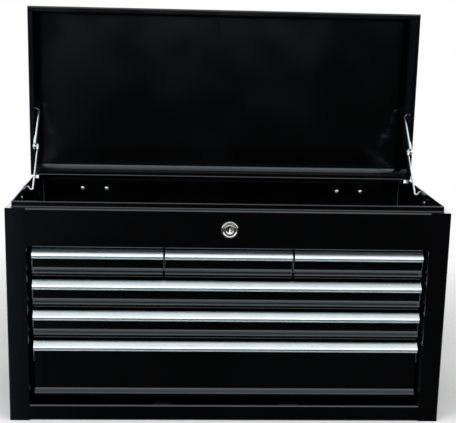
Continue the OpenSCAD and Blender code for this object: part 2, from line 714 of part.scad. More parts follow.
module drawer_lock_bar() color(black) {
    low = catch_z(last_row) + catch_h + prong_gap;
    block([-bar_half, bar_y, low], [bar_half, bar_y + bar_t, arm_top]);
    block([-rod_x - rod_r, bar_y, arm_top - arm_h], [rod_x + rod_r, bar_y + bar_t, arm_top]);
    for (x = [-side_drawer_x, side_drawer_x])
        block([x - prong_half, bar_y, catch_z(0) + catch_h + lock_stroke],
            [x + prong_half, bar_y + bar_t, arm_top - 1]);
    for (x = [-side_drawer_x, 0, side_drawer_x]) prong(x, 0);
    for (row = [1 : last_row]) prong(0, row);
    for (s = [-1, 1]) translate([s * rod_x, rod_y, rod_low]) cylinder(r = rod_r, h = rod_top - rod_low);
}

// ---- side handles ----

module handle_plate() difference() {
    half = handle_span / 2;
    union() {
        block([side_x, -half, handle_z - plate_down], [side_x + plate_t, half, handle_z + plate_up]);
        for (s = [0, 1]) mirror([0, s, 0]) {
            block([side_x + plate_t / 2, half - ear_t, handle_z - ear_r], [bail_x, half, handle_z + ear_r]);
            rod_along_y(ear_r, half - ear_t, half, bail_x, handle_z);
        }
    }
    rod_along_y(bail_r + running, -half - 1, half + 1, bail_x, handle_z);
    for (y = [-handle_rivet_y, handle_rivet_y], z = handle_rivets_z)
        rod_along_x(rivet_r + fastener_gap, side_x - 1, side_x + plate_t + 1, y, z);
}

module handle_plates() color(black) { handle_plate(); other_side() handle_plate(); }

module bail() {
    low = handle_z - bail_drop;
    for (s = [0, 1]) mirror([0, s, 0]) {
        rod_along_y(bail_r, bail_half, handle_span / 2 + 2, bail_x, handle_z);
        translate([bail_x, bail_half, handle_z]) sphere(r = bail_r);
        translate([bail_x, bail_half, low]) cylinder(r = bail_r, h = bail_drop);
        translate([bail_x, bail_half, low]) sphere(r = bail_r);
    }
    rod_along_y(bail_r, -bail_half, bail_half, bail_x, low);
}

module handle_bail_right() color(zinc) bail();
module handle_bail_left() color(zinc) other_side() bail();

// ---- slides: across from the drawer's side at 0 to the mount at slide_t, height about 0 ----

module rail_section()
    difference() {
        translate([rail_u, -slide_h / 2]) square([slide_t - rail_u, slide_h]);
        translate([rail_u - 1, -slide_h / 2 + slide_steel])
            square([slide_t - rail_u + 1 - slide_steel, slide_h - 2 * slide_steel]);
    }

module runner_section()
    difference() {
        translate([0, -runner_v]) square([runner_u, 2 * runner_v]);
        translate([slide_steel, -runner_v + slide_steel]) square([slide_t, 2 * (runner_v - slide_steel)]);
    }

// A slide's section carried along Y from y0 to y1, from the drawer's side at x outwards (dir = 1 or -1)
module slide_run(x, dir, z, y0, y1)
    translate([x, y1, z]) rotate([90, 0, 0]) linear_extrude(y1 - y0) scale([dir, 1]) children();

// A rail, with the stop that its ball cage meets when the drawer is fully open
module rail(x, dir, row) {
    z = row_top(row) + slide_centre;
    slide_run(x, dir, z, slide_y, slide_y + slide_len) rail_section();
    slide_run(x, dir, z, slide_y, slide_y + cage_stop)
        translate([cage_u, -stop_half_h]) square([slide_t - slide_steel / 2 - cage_u, 2 * stop_half_h]);
}

module runner(x, dir, row) slide_run(x, dir, row_top(row) + slide_centre, slide_y, box_back) runner_section();

// A ball cage: a strip folded round both rows of balls, with a pocket for each ball
module ball_cage(x, dir, row) {
    pitch = (cage_len - 2 * cage_edge) / (cage_balls - 1);
    high = ball_v + cage_t / 2;
    translate([x, cage_y, row_top(row) + slide_centre]) mirror([dir > 0 ? 0 : 1, 0, 0]) {
        difference() {
            union() {
                block([cage_u, 0, -high], [cage_u + cage_t, cage_len, high]);
                for (s = [0, 1]) mirror([0, 0, s])
                    block([ball_u - cage_lip, 0, high - cage_t], [cage_u + cage_t / 2, cage_len, high]);
            }
            for (s = [-1, 1], k = [0 : cage_balls - 1]) translate([ball_u, cage_edge + k * pitch, s * ball_v])
                cylinder(r = ball_d / 2 + fastener_gap, h = 4 * cage_t, center = true);
        }
        for (s = [-1, 1], k = [0 : cage_balls - 1])
            translate([ball_u, cage_edge + k * pitch, s * ball_v]) sphere(r = ball_d / 2, $fn = 20);
    }
}

module slide_rails_right() color(rail_grey) for (row = [0 : last_row]) rail(box_x, 1, row);
module slide_rails_left() color(rail_grey) for (row = [0 : last_row]) rail(-box_x, -1, row);
module slide_rails_middle() color(rail_grey) for (s = [0, 1]) mirror([s, 0, 0]) {
    rail(inner_box, -1, 0);
    rail(middle_box, 1, 0);
}

// ---- drawers ----

// A drawer: a folded front, four walls and a floor, and a catch behind for the lock bar
module drawer(i) {
    x0 = drawer_box[i][0];
    x1 = drawer_box[i][1];
    row = drawer_row(i);
    span = front_span[i];
    top = row_top(row);
    foot = front_foot(row);
    low = foot + box_lift;
    high = top - box_drop;
    catch_x = (x0 + x1) / 2;
    catch_half = bar_half - 2;
    flare_y = drawer_y - front_flare;
    flare_low = foot + flare_foot;
    flare_high = flare_low + front_flare;
    color(black) {
        // Front, with the flare above its foot
        along_x(span[0], span[1]) folded([
            [drawer_y, top - pull_hook, bend_r], [drawer_y, flare_high, flare_r],
            [flare_y, flare_low, flare_edge_r], [flare_y, foot, bend_r],
            [flare_y + front_return, foot, bend_r]], front_steps);
        // Box
        difference() {
            block([x0, drawer_y + sheet_t, low], [x1, box_back, high]);
            block([x0 + sheet_t, drawer_y, low + sheet_t], [x1 - sheet_t, box_back - sheet_t, high + 1]);
        }
        // The box's floor and sides reach into the flare
        block([x0, flare_y + sheet_t / 2, low], [x1, drawer_y + 2 * sheet_t, low + sheet_t]);
        for (x = [x0, x1 - sheet_t]) along_x(x, x + sheet_t) polygon([
            [flare_y + sheet_t / 2, low], [flare_y + sheet_t / 2, flare_low],
            [drawer_y + sheet_t / 4, flare_high], [drawer_y + sheet_t / 2, flare_high + flare_r / 2],
            [drawer_y + 2 * sheet_t, flare_high + flare_r / 2], [drawer_y + 2 * sheet_t, low]]);
        // Catch
        block([catch_x - catch_half, box_back - sheet_t / 2, catch_z(row)],
            [catch_x + catch_half, catch_end, catch_z(row) + sheet_t]);
        block([catch_x - catch_half, catch_end - sheet_t, catch_z(row)],
            [catch_x + catch_half, catch_end, catch_z(row) + catch_h]);
    }
}

module drawer_top_left() drawer(0);
module drawer_top_middle() drawer(1);
module drawer_top_right() drawer(2);
module drawer_second() drawer(3);
module drawer_third() drawer(4);
module drawer_bottom() drawer(5);

// A pull: an extruded bar that hooks over the top of the front, with a slanted top and a grooved foot
module pull(i) {
    span = front_span[i];
    foot = -pull_h;
    groove = foot + groove_top;
    color(silver) along_x(span[0], span[1]) translate([drawer_y, row_top(drawer_row(i))]) polygon([
        [sheet_t, 0], [-pull_hook, 0], [-pull_out, -pull_slope_h], [-pull_out, groove],
        [groove_d - pull_out, groove - groove_h / 3], [groove_d - pull_out, groove - groove_h * 2 / 3],
        [groove_d / 3 - pull_out, groove - groove_h], [groove_d / 3 - pull_out, foot],
        [pull_t - pull_out, foot], [pull_t - pull_out, -pull_slope_h], [-pull_t, -pull_t], [0, -pull_t],
        [0, -pull_hook], [sheet_t, -pull_hook]]);
}

module pull_top_left() pull(0);
module pull_top_middle() pull(1);
module pull_top_right() pull(2);
module pull_second() pull(3);
module pull_third() pull(4);
module pull_bottom() pull(5);

module runners(i) color(rail_grey) {
    runner(drawer_box[i][0], -1, drawer_row(i));
    runner(drawer_box[i][1], 1, drawer_row(i));
}
module runners_top_left() runners(0);
module runners_top_middle() runners(1);
module runners_top_right() runners(2);
module runners_second() runners(3);
module runners_third() runners(4);
module runners_bottom() runners(5);

module ball_cages(i) color(zinc) {
    ball_cage(drawer_box[i][0], -1, drawer_row(i));
    ball_cage(drawer_box[i][1], 1, drawer_row(i));
}
module ball_cages_top_left() ball_cages(0);
module ball_cages_top_middle() ball_cages(1);
module ball_cages_top_right() ball_cages(2);
module ball_cages_second() ball_cages(3);
module ball_cages_third() ball_cages(4);
module ball_cages_bottom() ball_cages(5);

side_panel_left();
side_panel_right();
back_panel();
bottom_pan();
lock_panel();
till_floor();
divider_left();
divider_right();
rear_uprights();
case_rivets();
lid_shell();
lid_strike();
lid_bushes();
hinge_case_leaves();
hinge_lid_leaves();
hinge_pins();
hinge_lid_rivets();
stay_upper_left();
stay_upper_right();
stay_lower_left();
stay_lower_right();
stay_rivet_left();
stay_rivet_right();
stay_sleeve_left();
stay_sleeve_right();
lock_housing();
lock_nut();
lock_plug();
lock_cam();
drawer_lock_bar();
handle_plates();
handle_bail_left();
handle_bail_right();
slide_rails_left();
slide_rails_right();
slide_rails_middle();
drawer_top_left();
drawer_top_middle();
drawer_top_right();
drawer_second();
drawer_third();
drawer_bottom();
pull_top_left();
pull_top_middle();
pull_top_right();
pull_second();
pull_third();
pull_bottom();
runners_top_left();
runners_top_middle();
runners_top_right();
runners_second();
runners_third();
runners_bottom();
ball_cages_top_left();
ball_cages_top_middle();
ball_cages_top_right();
ball_cages_second();
ball_cages_third();
ball_cages_bottom();
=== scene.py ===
"""A machinist's tool chest of folded black sheet steel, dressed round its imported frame.

Metres, with the front to -Y. Shapes are drawn in millimetres and scaled as they become meshes.
"""

import math

import bmesh
import bpy
import numpy as np
from mathutils import Matrix


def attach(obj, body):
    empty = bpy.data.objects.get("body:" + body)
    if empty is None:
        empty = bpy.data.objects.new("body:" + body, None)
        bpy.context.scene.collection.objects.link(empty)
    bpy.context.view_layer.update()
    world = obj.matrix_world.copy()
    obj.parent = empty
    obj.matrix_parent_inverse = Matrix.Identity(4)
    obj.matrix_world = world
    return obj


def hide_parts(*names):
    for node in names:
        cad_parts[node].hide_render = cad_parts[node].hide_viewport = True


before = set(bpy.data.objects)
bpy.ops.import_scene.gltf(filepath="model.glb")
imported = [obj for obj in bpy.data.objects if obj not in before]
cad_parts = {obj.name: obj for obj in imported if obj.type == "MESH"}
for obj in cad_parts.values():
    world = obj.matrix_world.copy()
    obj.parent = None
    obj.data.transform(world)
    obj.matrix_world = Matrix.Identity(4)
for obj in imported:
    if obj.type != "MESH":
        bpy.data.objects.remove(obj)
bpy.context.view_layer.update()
mm = 0.001

# ---- Camera ----
# The photograph's own viewpoint: in front, a little to the left and above the rim. Its lens is
# longer than normal, and the frame is shifted up, because the picture was cut from a taller one.
photo_w = 456
camera_at = np.array([-73.7, -1519.6, 569.3]) * mm
camera_yaw, camera_pitch, camera_roll = np.radians([2.963, 13.305, 1.285])
focal_pixels = 1040.7
shift_pixels = 45.5

forward = np.array(
    [
        math.sin(camera_yaw) * math.cos(camera_pitch),
        math.cos(camera_yaw) * math.cos(camera_pitch),
        -math.sin(camera_pitch),
    ]
)
level = np.array([math.cos(camera_yaw), -math.sin(camera_yaw), 0])
above = np.cross(level, forward)
right = math.cos(camera_roll) * level + math.sin(camera_roll) * above
up = -math.sin(camera_roll) * level + math.cos(camera_roll) * above
camera_data = bpy.data.cameras.new("photo_view")
camera = bpy.data.objects.new("photo_view", camera_data)
bpy.context.scene.collection.objects.link(camera)
camera_data.lens = focal_pixels / photo_w * camera_data.sensor_width
camera_data.shift_y = shift_pixels / photo_w
placed = np.eye(4)
placed[:3, :3] = np.stack([right, up, -forward], 1)
placed[:3, 3] = camera_at
camera.matrix_world = Matrix(placed)
bpy.context.scene.camera = camera
bpy.context.scene.view_settings.view_transform = "Standard"


# ---- Studio ----
# A white room. In its mirror image a wide soft light stands in front of the chest, from just above
# the horizon, fading as it rises and brighter again overhead. The rest of the front and the floor
# side are flagged dark, as a photographer does to keep black gloss black.
def node_maker(tree):
    """Returns a function that adds a node of a kind, sets its fields and inputs, and gives it back.

    An input goes by its socket's name, with _ for a space, or by _ and its number.
    """

    def add(kind, fields=None, **inputs):
        made = tree.nodes.new(kind)
        for field, value in (fields or {}).items():
            setattr(made, field, value)
        for name, value in inputs.items():
            socket = made.inputs[int(name[1:]) if name[1:].isdigit() else name.replace("_", " ")]
            if isinstance(value, bpy.types.NodeSocket):
                tree.links.new(value, socket)
            else:
                socket.default_value = value
        return made

    return add


def math_of(add, operation, *values):
    """The value socket of one maths step on sockets or numbers."""
    inputs = {"_%d" % i: value for i, value in enumerate(values)}
    return add("ShaderNodeMath", {"operation": operation}, **inputs).outputs[0]


def eased(add, value, low, high, to_low=0.0, to_high=1.0):
    """A smooth step: to_low while value is under low, to_high over high, eased in between."""
    smooth = {"interpolation_type": "SMOOTHSTEP"}
    return add(
        "ShaderNodeMapRange", smooth, _0=value, _1=low, _2=high, _3=to_low, _4=to_high
    ).outputs[0]


world = bpy.data.worlds.new("studio")
bpy.context.scene.world = world
world.use_nodes = True
world.node_tree.nodes.clear()
add = node_maker(world.node_tree)
fill_light = 0.4
soft_light, high_share, overhead_share = 2.15, 0.43, 1.5
dark_floor, left_glow = 0.015, 0.2
# Between which parts of a mirrored direction each light comes or goes.
behind_y, left_x = (-0.1, 0.6), (-0.17, -0.135)
horizon_z, fading_z, overhead_z = (0.03, 0.12), (0.12, 0.95), (0.93, 0.995)

ray = add("ShaderNodeLightPath").outputs
direction = add("ShaderNodeSeparateXYZ", _0=add("ShaderNodeTexCoord").outputs["Generated"]).outputs
behind = eased(add, direction["Y"], *behind_y)
rising = eased(add, direction["Z"], *horizon_z)
fading = eased(add, direction["Z"], *fading_z, 1.0, high_share)
overhead = eased(add, direction["Z"], *overhead_z, 1.0, overhead_share)
by_height = math_of(add, "MULTIPLY", rising, fading)
in_front = math_of(add, "MULTIPLY", by_height, math_of(add, "MULTIPLY", overhead, soft_light))
at_left = eased(add, direction["X"], *left_x, left_glow, dark_floor)
reflected = math_of(add, "MAXIMUM", math_of(add, "MAXIMUM", behind, in_front), at_left)
mirror_rays = math_of(add, "MAXIMUM", ray["Is Glossy Ray"], ray["Is Transmission Ray"])
lit = add("ShaderNodeMix", {"data_type": "FLOAT"}, _0=mirror_rays, _2=fill_light, _3=reflected)
seen = math_of(add, "MAXIMUM", lit.outputs[0], ray["Is Camera Ray"])
sky = add("ShaderNodeBackground", Color=(1, 1, 1, 1), Strength=seen)
add("ShaderNodeOutputWorld", Surface=sky.outputs[0])


def lamp(name, place, target, size, watts, colour=(1, 1, 1)):
    """A rectangular soft lamp at place that faces target. Its shape isn't mirrored in the gloss."""
    data = bpy.data.lights.new(name, "AREA")
    data.shape = "RECTANGLE"
    data.size, data.size_y = size
    data.energy = watts
    data.color = colour
    made = bpy.data.objects.new(name, data)
    bpy.context.scene.collection.objects.link(made)
    away = np.array(place, float) - np.array(target, float)
    away /= np.linalg.norm(away)
    side = np.cross([0, 0, 1], away)
    side = side / np.linalg.norm(side)
    turned = np.eye(4)
    turned[:3, :3] = np.stack([side, np.cross(away, side), away], 1)
    turned[:3, 3] = place
    made.matrix_world = Matrix(turned)
    made.visible_glossy = False


chest_middle, cool_white = (0, -0.1, 0.2), (0.97, 0.98, 1)
lamp("top_lamp", place=(0, -0.35, 1.75), target=(0, 0, 0.3), size=(1.6, 0.9), watts=22)
lamp("left_lamp", (-1.3, -1.6, 0.75), chest_middle, size=(0.7, 0.9), watts=14, colour=cool_white)
lamp("right_lamp", (1.2, -1.8, 0.35), chest_middle, size=(0.9, 0.5), watts=10)

# The floor lies round and behind the chest and fades out into the white of the room, soonest in
# front. What lies before the chest is kept out of its gloss, so that the fronts stay black.
floor_at, floor_reach, floor_corners = (0, 0.22), 1.1, 96
floor_fade, front_fade, gloss_fade = (0.36, 0.98), (-0.34, -0.14), (-0.13, -0.1)
floor_shade = 0.86
turn = np.linspace(0, 2 * np.pi, floor_corners, endpoint=False)
floor_x = floor_at[0] + floor_reach * np.cos(turn)
floor_y = floor_at[1] + floor_reach * np.sin(turn)
floor_mesh = bpy.data.meshes.new("floor")
floor_points = np.stack([floor_x, floor_y, 0 * turn], 1)
floor_mesh.from_pydata(floor_points.tolist(), [], [list(range(floor_corners))])
floor = bpy.data.objects.new("floor", floor_mesh)
bpy.context.scene.collection.objects.link(floor)

floor_paint = bpy.data.materials.new("floor_white")
floor_paint.use_nodes = True
floor_paint.node_tree.nodes.clear()
add = node_maker(floor_paint.node_tree)
here = add("ShaderNodeTexCoord").outputs["Object"]
offset = add("ShaderNodeVectorMath", {"operation": "SUBTRACT"}, _0=here, _1=(*floor_at, 0))
distance = add("ShaderNodeVectorMath", {"operation": "LENGTH"}, _0=offset.outputs[0])
depth = add("ShaderNodeSeparateXYZ", _0=here).outputs["Y"]
glossy_ray = add("ShaderNodeLightPath").outputs["Is Glossy Ray"]
mirrored = math_of(add, "MULTIPLY", glossy_ray, eased(add, depth, *gloss_fade, 1.0, 0.0))
before_chest = math_of(add, "MAXIMUM", eased(add, depth, *front_fade, 1.0, 0.0), mirrored)
far_off = eased(add, distance.outputs["Value"], *floor_fade)
gone = math_of(add, "MAXIMUM", far_off, before_chest)
matt = add("ShaderNodeBsdfDiffuse", Color=(floor_shade, floor_shade, floor_shade, 1))
clear = add("ShaderNodeBsdfTransparent")
surface = add("ShaderNodeMixShader", _0=gone, _1=matt.outputs[0], _2=clear.outputs[0])
add("ShaderNodeOutputMaterial", Surface=surface.outputs[0])
floor_mesh.materials.append(floor_paint)

# ---- Case ----
# Side panels, back, lock panel, pan and till floor are folded from 1 mm sheet, spot welded, sprayed
# with gloss black and baked. The coat has a faint orange peel, and dust and handling have dulled it
# in patches.
paint_ior, paint_tint = 1.62, (0.82, 0.93, 1)
patch_dust, grain_dust = 0.45, 0.5
dulled, peel_depth = 0.05, 0.05 * mm
# Between which values of their noises the patches, the grain and the smears come in.
patch_levels, grain_levels, smear_levels = (0.4, 0.8), (0.62, 0.78), (0.35, 0.7)


def finish(name, base, metallic, roughness):
    """A new material with its shader, and the node maker for what drives it."""
    made = bpy.data.materials.new(name)
    made.use_nodes = True
    made.node_tree.nodes.clear()
    add = node_maker(made.node_tree)
    shader = add("ShaderNodeBsdfPrincipled", Metallic=metallic, Roughness=roughness)
    shader.inputs["Base Color"].default_value = (*base, 1)
    add("ShaderNodeOutputMaterial", Surface=shader.outputs[0])
    return made, shader, add


def noise(add, where, scale, detail, rough=0.5):
    """The value of a noise of that many cells to the metre."""
    cells = {"Vector": where, "Scale": scale, "Detail": detail, "Roughness": rough}
    return add("ShaderNodeTexNoise", **cells).outputs[0]


def tint(add, factor, low, high):
    """A colour between two, by a value from 0 to 1."""
    mix = add("ShaderNodeMix", {"data_type": "RGBA"}, _0=factor)
    mix.inputs[6].default_value = (*low, 1)
    mix.inputs[7].default_value = (*high, 1)
    return mix.outputs[2]


def connect(made, output, socket):
    """Links a node's output to a socket of the material."""
    made.node_tree.links.new(output, socket)


def sprayed_steel(name, base, dusty, roughness, peel):
    """Gloss paint whose tone and gloss drift in patches, with a fine orange peel."""
    made, shader, add = finish(name, base, 0.0, roughness)
    shader.inputs["IOR"].default_value = paint_ior
    shader.inputs["Specular Tint"].default_value = (*paint_tint, 1)
    here = add("ShaderNodeTexCoord").outputs["Object"]
    patches = eased(add, noise(add, here, scale=6, detail=3), *patch_levels)
    grain = eased(add, noise(add, here, scale=900, detail=2), *grain_levels)
    from_patches = math_of(add, "MULTIPLY", patches, patch_dust)
    from_grain = math_of(add, "MULTIPLY", grain, grain_dust)
    dust = math_of(add, "ADD", from_patches, from_grain)
    connect(made, tint(add, dust, base, dusty), shader.inputs["Base Color"])
    smears = noise(add, here, scale=9, detail=4)
    gloss = eased(add, smears, *smear_levels, roughness, roughness + dulled)
    connect(made, gloss, shader.inputs["Roughness"])
    ripple = noise(add, here, scale=380, detail=1)
    bump = add("ShaderNodeBump", Height=ripple, Strength=peel, Distance=peel_depth)
    connect(made, bump.outputs[0], shader.inputs["Normal"])
    return made


def dress(made, *nodes):
    """Gives CAD nodes their finish in place of the plain colour that they were packed with."""
    for node in nodes:
        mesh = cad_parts[node].data
        mesh.materials.clear()
        mesh.materials.append(made)


gloss_black = sprayed_steel(
    "gloss_black",
    base=(0.0008, 0.0008, 0.001),
    dusty=(0.0022, 0.0022, 0.0026),
    roughness=0.11,
    peel=0.1,
)
dress(gloss_black, "side_panel_left", "side_panel_right", "back_panel", "bottom_pan")
dress(gloss_black, "lock_panel", "till_floor", "divider_left", "divider_right")
dress(gloss_black, "rear_uprights", "drawer_lock_bar")

# ---- Lid ----
# One sheet is folded over the front and back into walls and lips, with a wide bend along the top
# edges. Its ends are flat plates with a folded lip. The strike plate for the lock is welded inside
# its front.
case_w, case_h, back_y = 610, 305, 130
sheet_t = 1
hinge_y, hinge_z = back_y + 3.4, case_h
lid_low, lid_h, lid_front, lid_lip = case_h + 0.3, 50, -132, 7.5
lid_edge_r, fold_r, fold_steps = 11, 1.2, 12
plate_in = case_w / 2 - sheet_t
paint_edge = 0.3 * mm
merge_within = 0.001 * mm


def corner_arcs(points, radius, before, after, off, steps, hold):
    """Rounds a plane path's corners into arcs of steps + 1 points, each between two holding points.

    With d1 and d2 the directions before and after a corner, s the sign of its turn and a its angle,
    the arc's centre is corner - d1 r tan(a/2) + s r left(d1). Its points are
    centre - s (r - s off) left(d1) turned by 0 to s a, which runs at the distance off to the left
    of the path. hold keeps the flats flat in shading.
    """
    left = np.stack([-before[:, 1], before[:, 0]], 1)
    cross = before[:, 0] * after[:, 1] - before[:, 1] * after[:, 0]
    sign = np.where(cross > 0, 1.0, -1.0)
    angle = np.arccos(np.clip((before * after).sum(1), -1, 1))
    start = points - before * (radius * np.tan(angle / 2))[:, None]
    centre = start + left * (sign * radius)[:, None]
    part = (sign * angle)[:, None] * np.linspace(0, 1, steps + 1)
    spun = np.stack(
        [
            left[:, :1] * np.cos(part) - left[:, 1:] * np.sin(part),
            left[:, :1] * np.sin(part) + left[:, 1:] * np.cos(part),
        ],
        2,
    )
    arcs = centre[:, None] - spun * (sign * (radius - sign * off))[:, None, None]
    held_before = arcs[:, :1] - before[:, None] * hold
    held_after = arcs[:, -1:] + after[:, None] * hold
    return np.concatenate([held_before, arcs, held_after], 1)


def sheet_face(path, off, hold=0.3):
    """One face of a folded sheet: a path of [across, up, inside radius] moved off to the left."""
    points, radius = path[:, :2], path[1:-1, 2]
    way = np.diff(points, axis=0)
    way /= np.linalg.norm(way, axis=1)[:, None]
    left = np.stack([-way[:, 1], way[:, 0]], 1)
    cross = way[:-1, 0] * way[1:, 1] - way[:-1, 1] * way[1:, 0]
    path_r = radius + np.where(cross > 0, sheet_t, 0)
    arcs = corner_arcs(points[1:-1], path_r, way[:-1], way[1:], off, fold_steps, hold)
    first, last = points[:1] + left[:1] * off, points[-1:] + left[-1:] * off
    return np.concatenate([first, arcs.reshape(-1, 2), last])


def carried(outline, x0, x1):
    """A closed outline in Y-Z carried along X from x0 to x1, with flat ends: points and faces."""
    count = len(outline)
    ends = np.repeat([x0, x1], count)[:, None]
    points = np.concatenate([ends, np.tile(outline, (2, 1))], 1)
    i = np.arange(count)
    j = (i + 1) % count
    sides = np.stack([i, j, j + count, i + count], 1).tolist()
    return points, sides + [i.tolist(), (i + count).tolist()]


def joined(*parts):
    """Several (points, faces) as one."""
    starts = np.cumsum([0] + [len(points) for points, _ in parts])
    moved = [
        [int(start) + k for k in face]
        for start, (_, faces) in zip(starts, parts)
        for face in faces
    ]
    return np.concatenate([points for points, _ in parts]), moved


def swung_open(points):
    """Turns what lies with the lid shut to where it stands open, about the hinge at (hy, hz):
    y' = hy + z - hz, z' = hz - y + hy."""
    x, y, z = points.T
    return np.stack([x, hinge_y + z - hinge_z, hinge_z - y + hinge_y], 1)


def make_piece(name, points, faces, made, body, replaced, sharp=35):
    """A piece from points in mm, with doubles merged and faces outward. It is shaded smooth apart
    from edges sharper than sharp degrees."""
    mesh = bpy.data.meshes.new(name)
    mesh.from_pydata((points * mm).tolist(), [], faces)
    work = bmesh.new()
    work.from_mesh(mesh)
    bmesh.ops.remove_doubles(work, verts=work.verts, dist=merge_within)
    bmesh.ops.recalc_face_normals(work, faces=work.faces)
    work.to_mesh(mesh)
    work.free()
    mesh.shade_smooth()
    mesh.set_sharp_from_angle(angle=math.radians(sharp))
    mesh.materials.append(made)
    piece = bpy.data.objects.new(name, mesh)
    bpy.context.scene.collection.objects.link(piece)
    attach(piece, body)
    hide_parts(*replaced)
    return piece


lid_path = np.array(
    [
        [back_y - lid_lip, lid_low, fold_r],
        [back_y, lid_low, fold_r],
        [back_y, lid_low + lid_h, lid_edge_r],
        [lid_front, lid_low + lid_h, lid_edge_r],
        [lid_front, lid_low, fold_r],
        [lid_front + lid_lip, lid_low, fold_r],
    ]
)
end_outline = sheet_face(lid_path, 0)
shell_outline = np.concatenate([end_outline, sheet_face(lid_path, sheet_t)[::-1]])
points, faces = carried(shell_outline, -plate_in, plate_in)
make_piece("lid_sheet", swung_open(points), faces, gloss_black, "lid", ["lid_shell"])

lip_front, lip_back = lid_front + lid_lip - sheet_t, back_y - lid_lip + sheet_t
lip_outline = np.array(
    [
        [lip_front, lid_low],
        [lip_back, lid_low],
        [lip_back, lid_low + sheet_t],
        [lip_front, lid_low + sheet_t],
    ]
)
for side, mirror in (("left", -1), ("right", 1)):
    x_in, x_out, x_lip = mirror * plate_in, mirror * case_w / 2, mirror * (case_w / 2 - lid_lip)
    plate = carried(end_outline, *sorted((x_in, x_out)))
    points, faces = joined(plate, carried(lip_outline, *sorted((x_lip, x_in))))
    place = swung_open(points)
    end = make_piece(
        "lid_end_" + side, place, faces, gloss_black, "lid", ["lid_shell"]
    )
    rounded = end.modifiers.new("paint_edge", "BEVEL")
    rounded.width = paint_edge
    rounded.segments = 2
    rounded.limit_method = "ANGLE"
    rounded.harden_normals = True
dress(gloss_black, "lid_strike")

# ---- Drawers ----
# Each drawer is a folded front that flares out above its foot, on a welded box with a catch
# behind it.
dress(gloss_black, "drawer_top_left", "drawer_top_middle", "drawer_top_right")
dress(gloss_black, "drawer_second", "drawer_third", "drawer_bottom")


# ---- Pulls ----
# Extruded aluminium bars with a satin anodised skin, hooked over the top edge of each front. A
# slope leads from the hook into the upright face, and a groove runs along it above its foot.
def satin_metal(name, base, shade, roughness, streak, spots, bump_depth=0.03 * mm):
    """Metal whose tone drifts in patches, with fine streaks along the directions of small scale."""
    made, shader, add = finish(name, base, 1.0, roughness)
    levels, smoothest, roughest = (0.3, 0.7), roughness * 0.85, roughness * 1.2
    here = add("ShaderNodeTexCoord").outputs["Object"]
    drawn = add("ShaderNodeMapping", Vector=here, Scale=streak).outputs[0]
    lines = noise(add, drawn, scale=1.0, detail=3, rough=0.6)
    tone = eased(add, noise(add, here, scale=spots, detail=3), *levels)
    connect(made, tint(add, tone, base, shade), shader.inputs["Base Color"])
    gloss = eased(add, lines, *levels, smoothest, roughest)
    connect(made, gloss, shader.inputs["Roughness"])
    bump = add("ShaderNodeBump", Height=lines, Strength=0.2, Distance=bump_depth)
    connect(made, bump.outputs[0], shader.inputs["Normal"])
    return made


def rounded_outline(corners, steps, hold):
    """A closed outline whose every corner [across, up, radius] is rounded into an arc."""
    points = corners[:, :2]
    way = np.roll(points, -1, 0) - points
    way /= np.linalg.norm(way, axis=1)[:, None]
    arcs = corner_arcs(points, corners[:, 2], np.roll(way, 1, 0), way, 0, steps, hold)
    return arcs.reshape(-1, 2)


pull_silver = satin_metal(
    "satin_aluminium",
    base=(0.78, 0.88, 0.91),
    shade=(0.72, 0.82, 0.86),
    roughness=0.27,
    streak=(9, 2600, 2600),
    spots=24,
)
drawer_y = -121
row_top = [248, 204, 160, 116]
# The section's levels from the top edge of a drawer's front, forward and down as negative.
slope_y, face_y, foot_y, groove_y, inside_y = -1, -9, -8.6, -7.4, -6.7
slope_foot, groove_top, groove_foot, pull_foot = -7, -10.3, -12.05, -13
hook_under, groove_side = -2.3, 0.55
pull_section = np.array(
    [
        # y, z, radius of the corner
        [sheet_t, 0, 0.2],
        [slope_y, 0, 0.9],
        [face_y, slope_foot, 5.5],
        [face_y, groove_top, 0.25],
        [groove_y, groove_top - groove_side, 0.2],
        [groove_y, groove_foot + groove_side, 0.2],
        [foot_y, groove_foot, 0.2],
        [foot_y, pull_foot, 0.35],
        [inside_y, pull_foot, 0.3],
        [inside_y, slope_foot, 1.2],
        [hook_under, hook_under, 0.8],
        [0, hook_under, 0.2],
        [0, -sheet_t, 0.1],
        [sheet_t, -sheet_t, 0.2],
    ]
)
pull_outline = rounded_outline(pull_section, steps=5, hold=0.04)
front_half, outer_split, inner_split = 270, 91, 88
pull_spans = {
    # row, and the ends along x
    "top_left": (0, -front_half, -outer_split),
    "top_middle": (0, -inner_split, inner_split),
    "top_right": (0, outer_split, front_half),
    "second": (1, -front_half, front_half),
    "third": (2, -front_half, front_half),
    "bottom": (3, -front_half, front_half),
}
for drawer, (row, x0, x1) in pull_spans.items():
    points, faces = carried(pull_outline + [drawer_y, row_top[row]], x0, x1)
    make_piece(
        "pull_bar_" + drawer,
        points,
        faces,
        pull_silver,
        "drawer_" + drawer,
        ["pull_" + drawer],
        sharp=30,
    )


# ---- Lock ----
# A chromed cam lock: a round bezel pressed against the panel, a barrel through it, and a plug with
# a dished face and a keyway. A nut holds the barrel, and the plug's tail carries the cam.
def grid_faces(rows, columns, closed=False):
    """Quads over a grid of points that runs round its columns, and round its rows where closed."""
    i = np.arange(rows if closed else rows - 1)[:, None]
    j = np.arange(columns)[None]
    below, beside = (i + 1) % rows * columns, (j + 1) % columns
    quads = [i * columns + j, i * columns + beside, below + beside, below + j]
    return np.stack(quads, 2).reshape(-1, 4).tolist()


def turned_about_y(outline, at, turns):
    """Each [radius, y] of a closed outline is spun round an axis along Y through (x, z)."""
    outline = np.asarray(outline, float)
    angle = np.linspace(0, 2 * np.pi, turns, endpoint=False)
    points = np.stack(
        [
            at[0] + outline[:, :1] * np.cos(angle),
            np.repeat(outline[:, 1:], turns, 1),
            at[1] + outline[:, :1] * np.sin(angle),
        ],
        2,
    )
    return points.reshape(-1, 3), grid_faces(len(outline), turns, True)


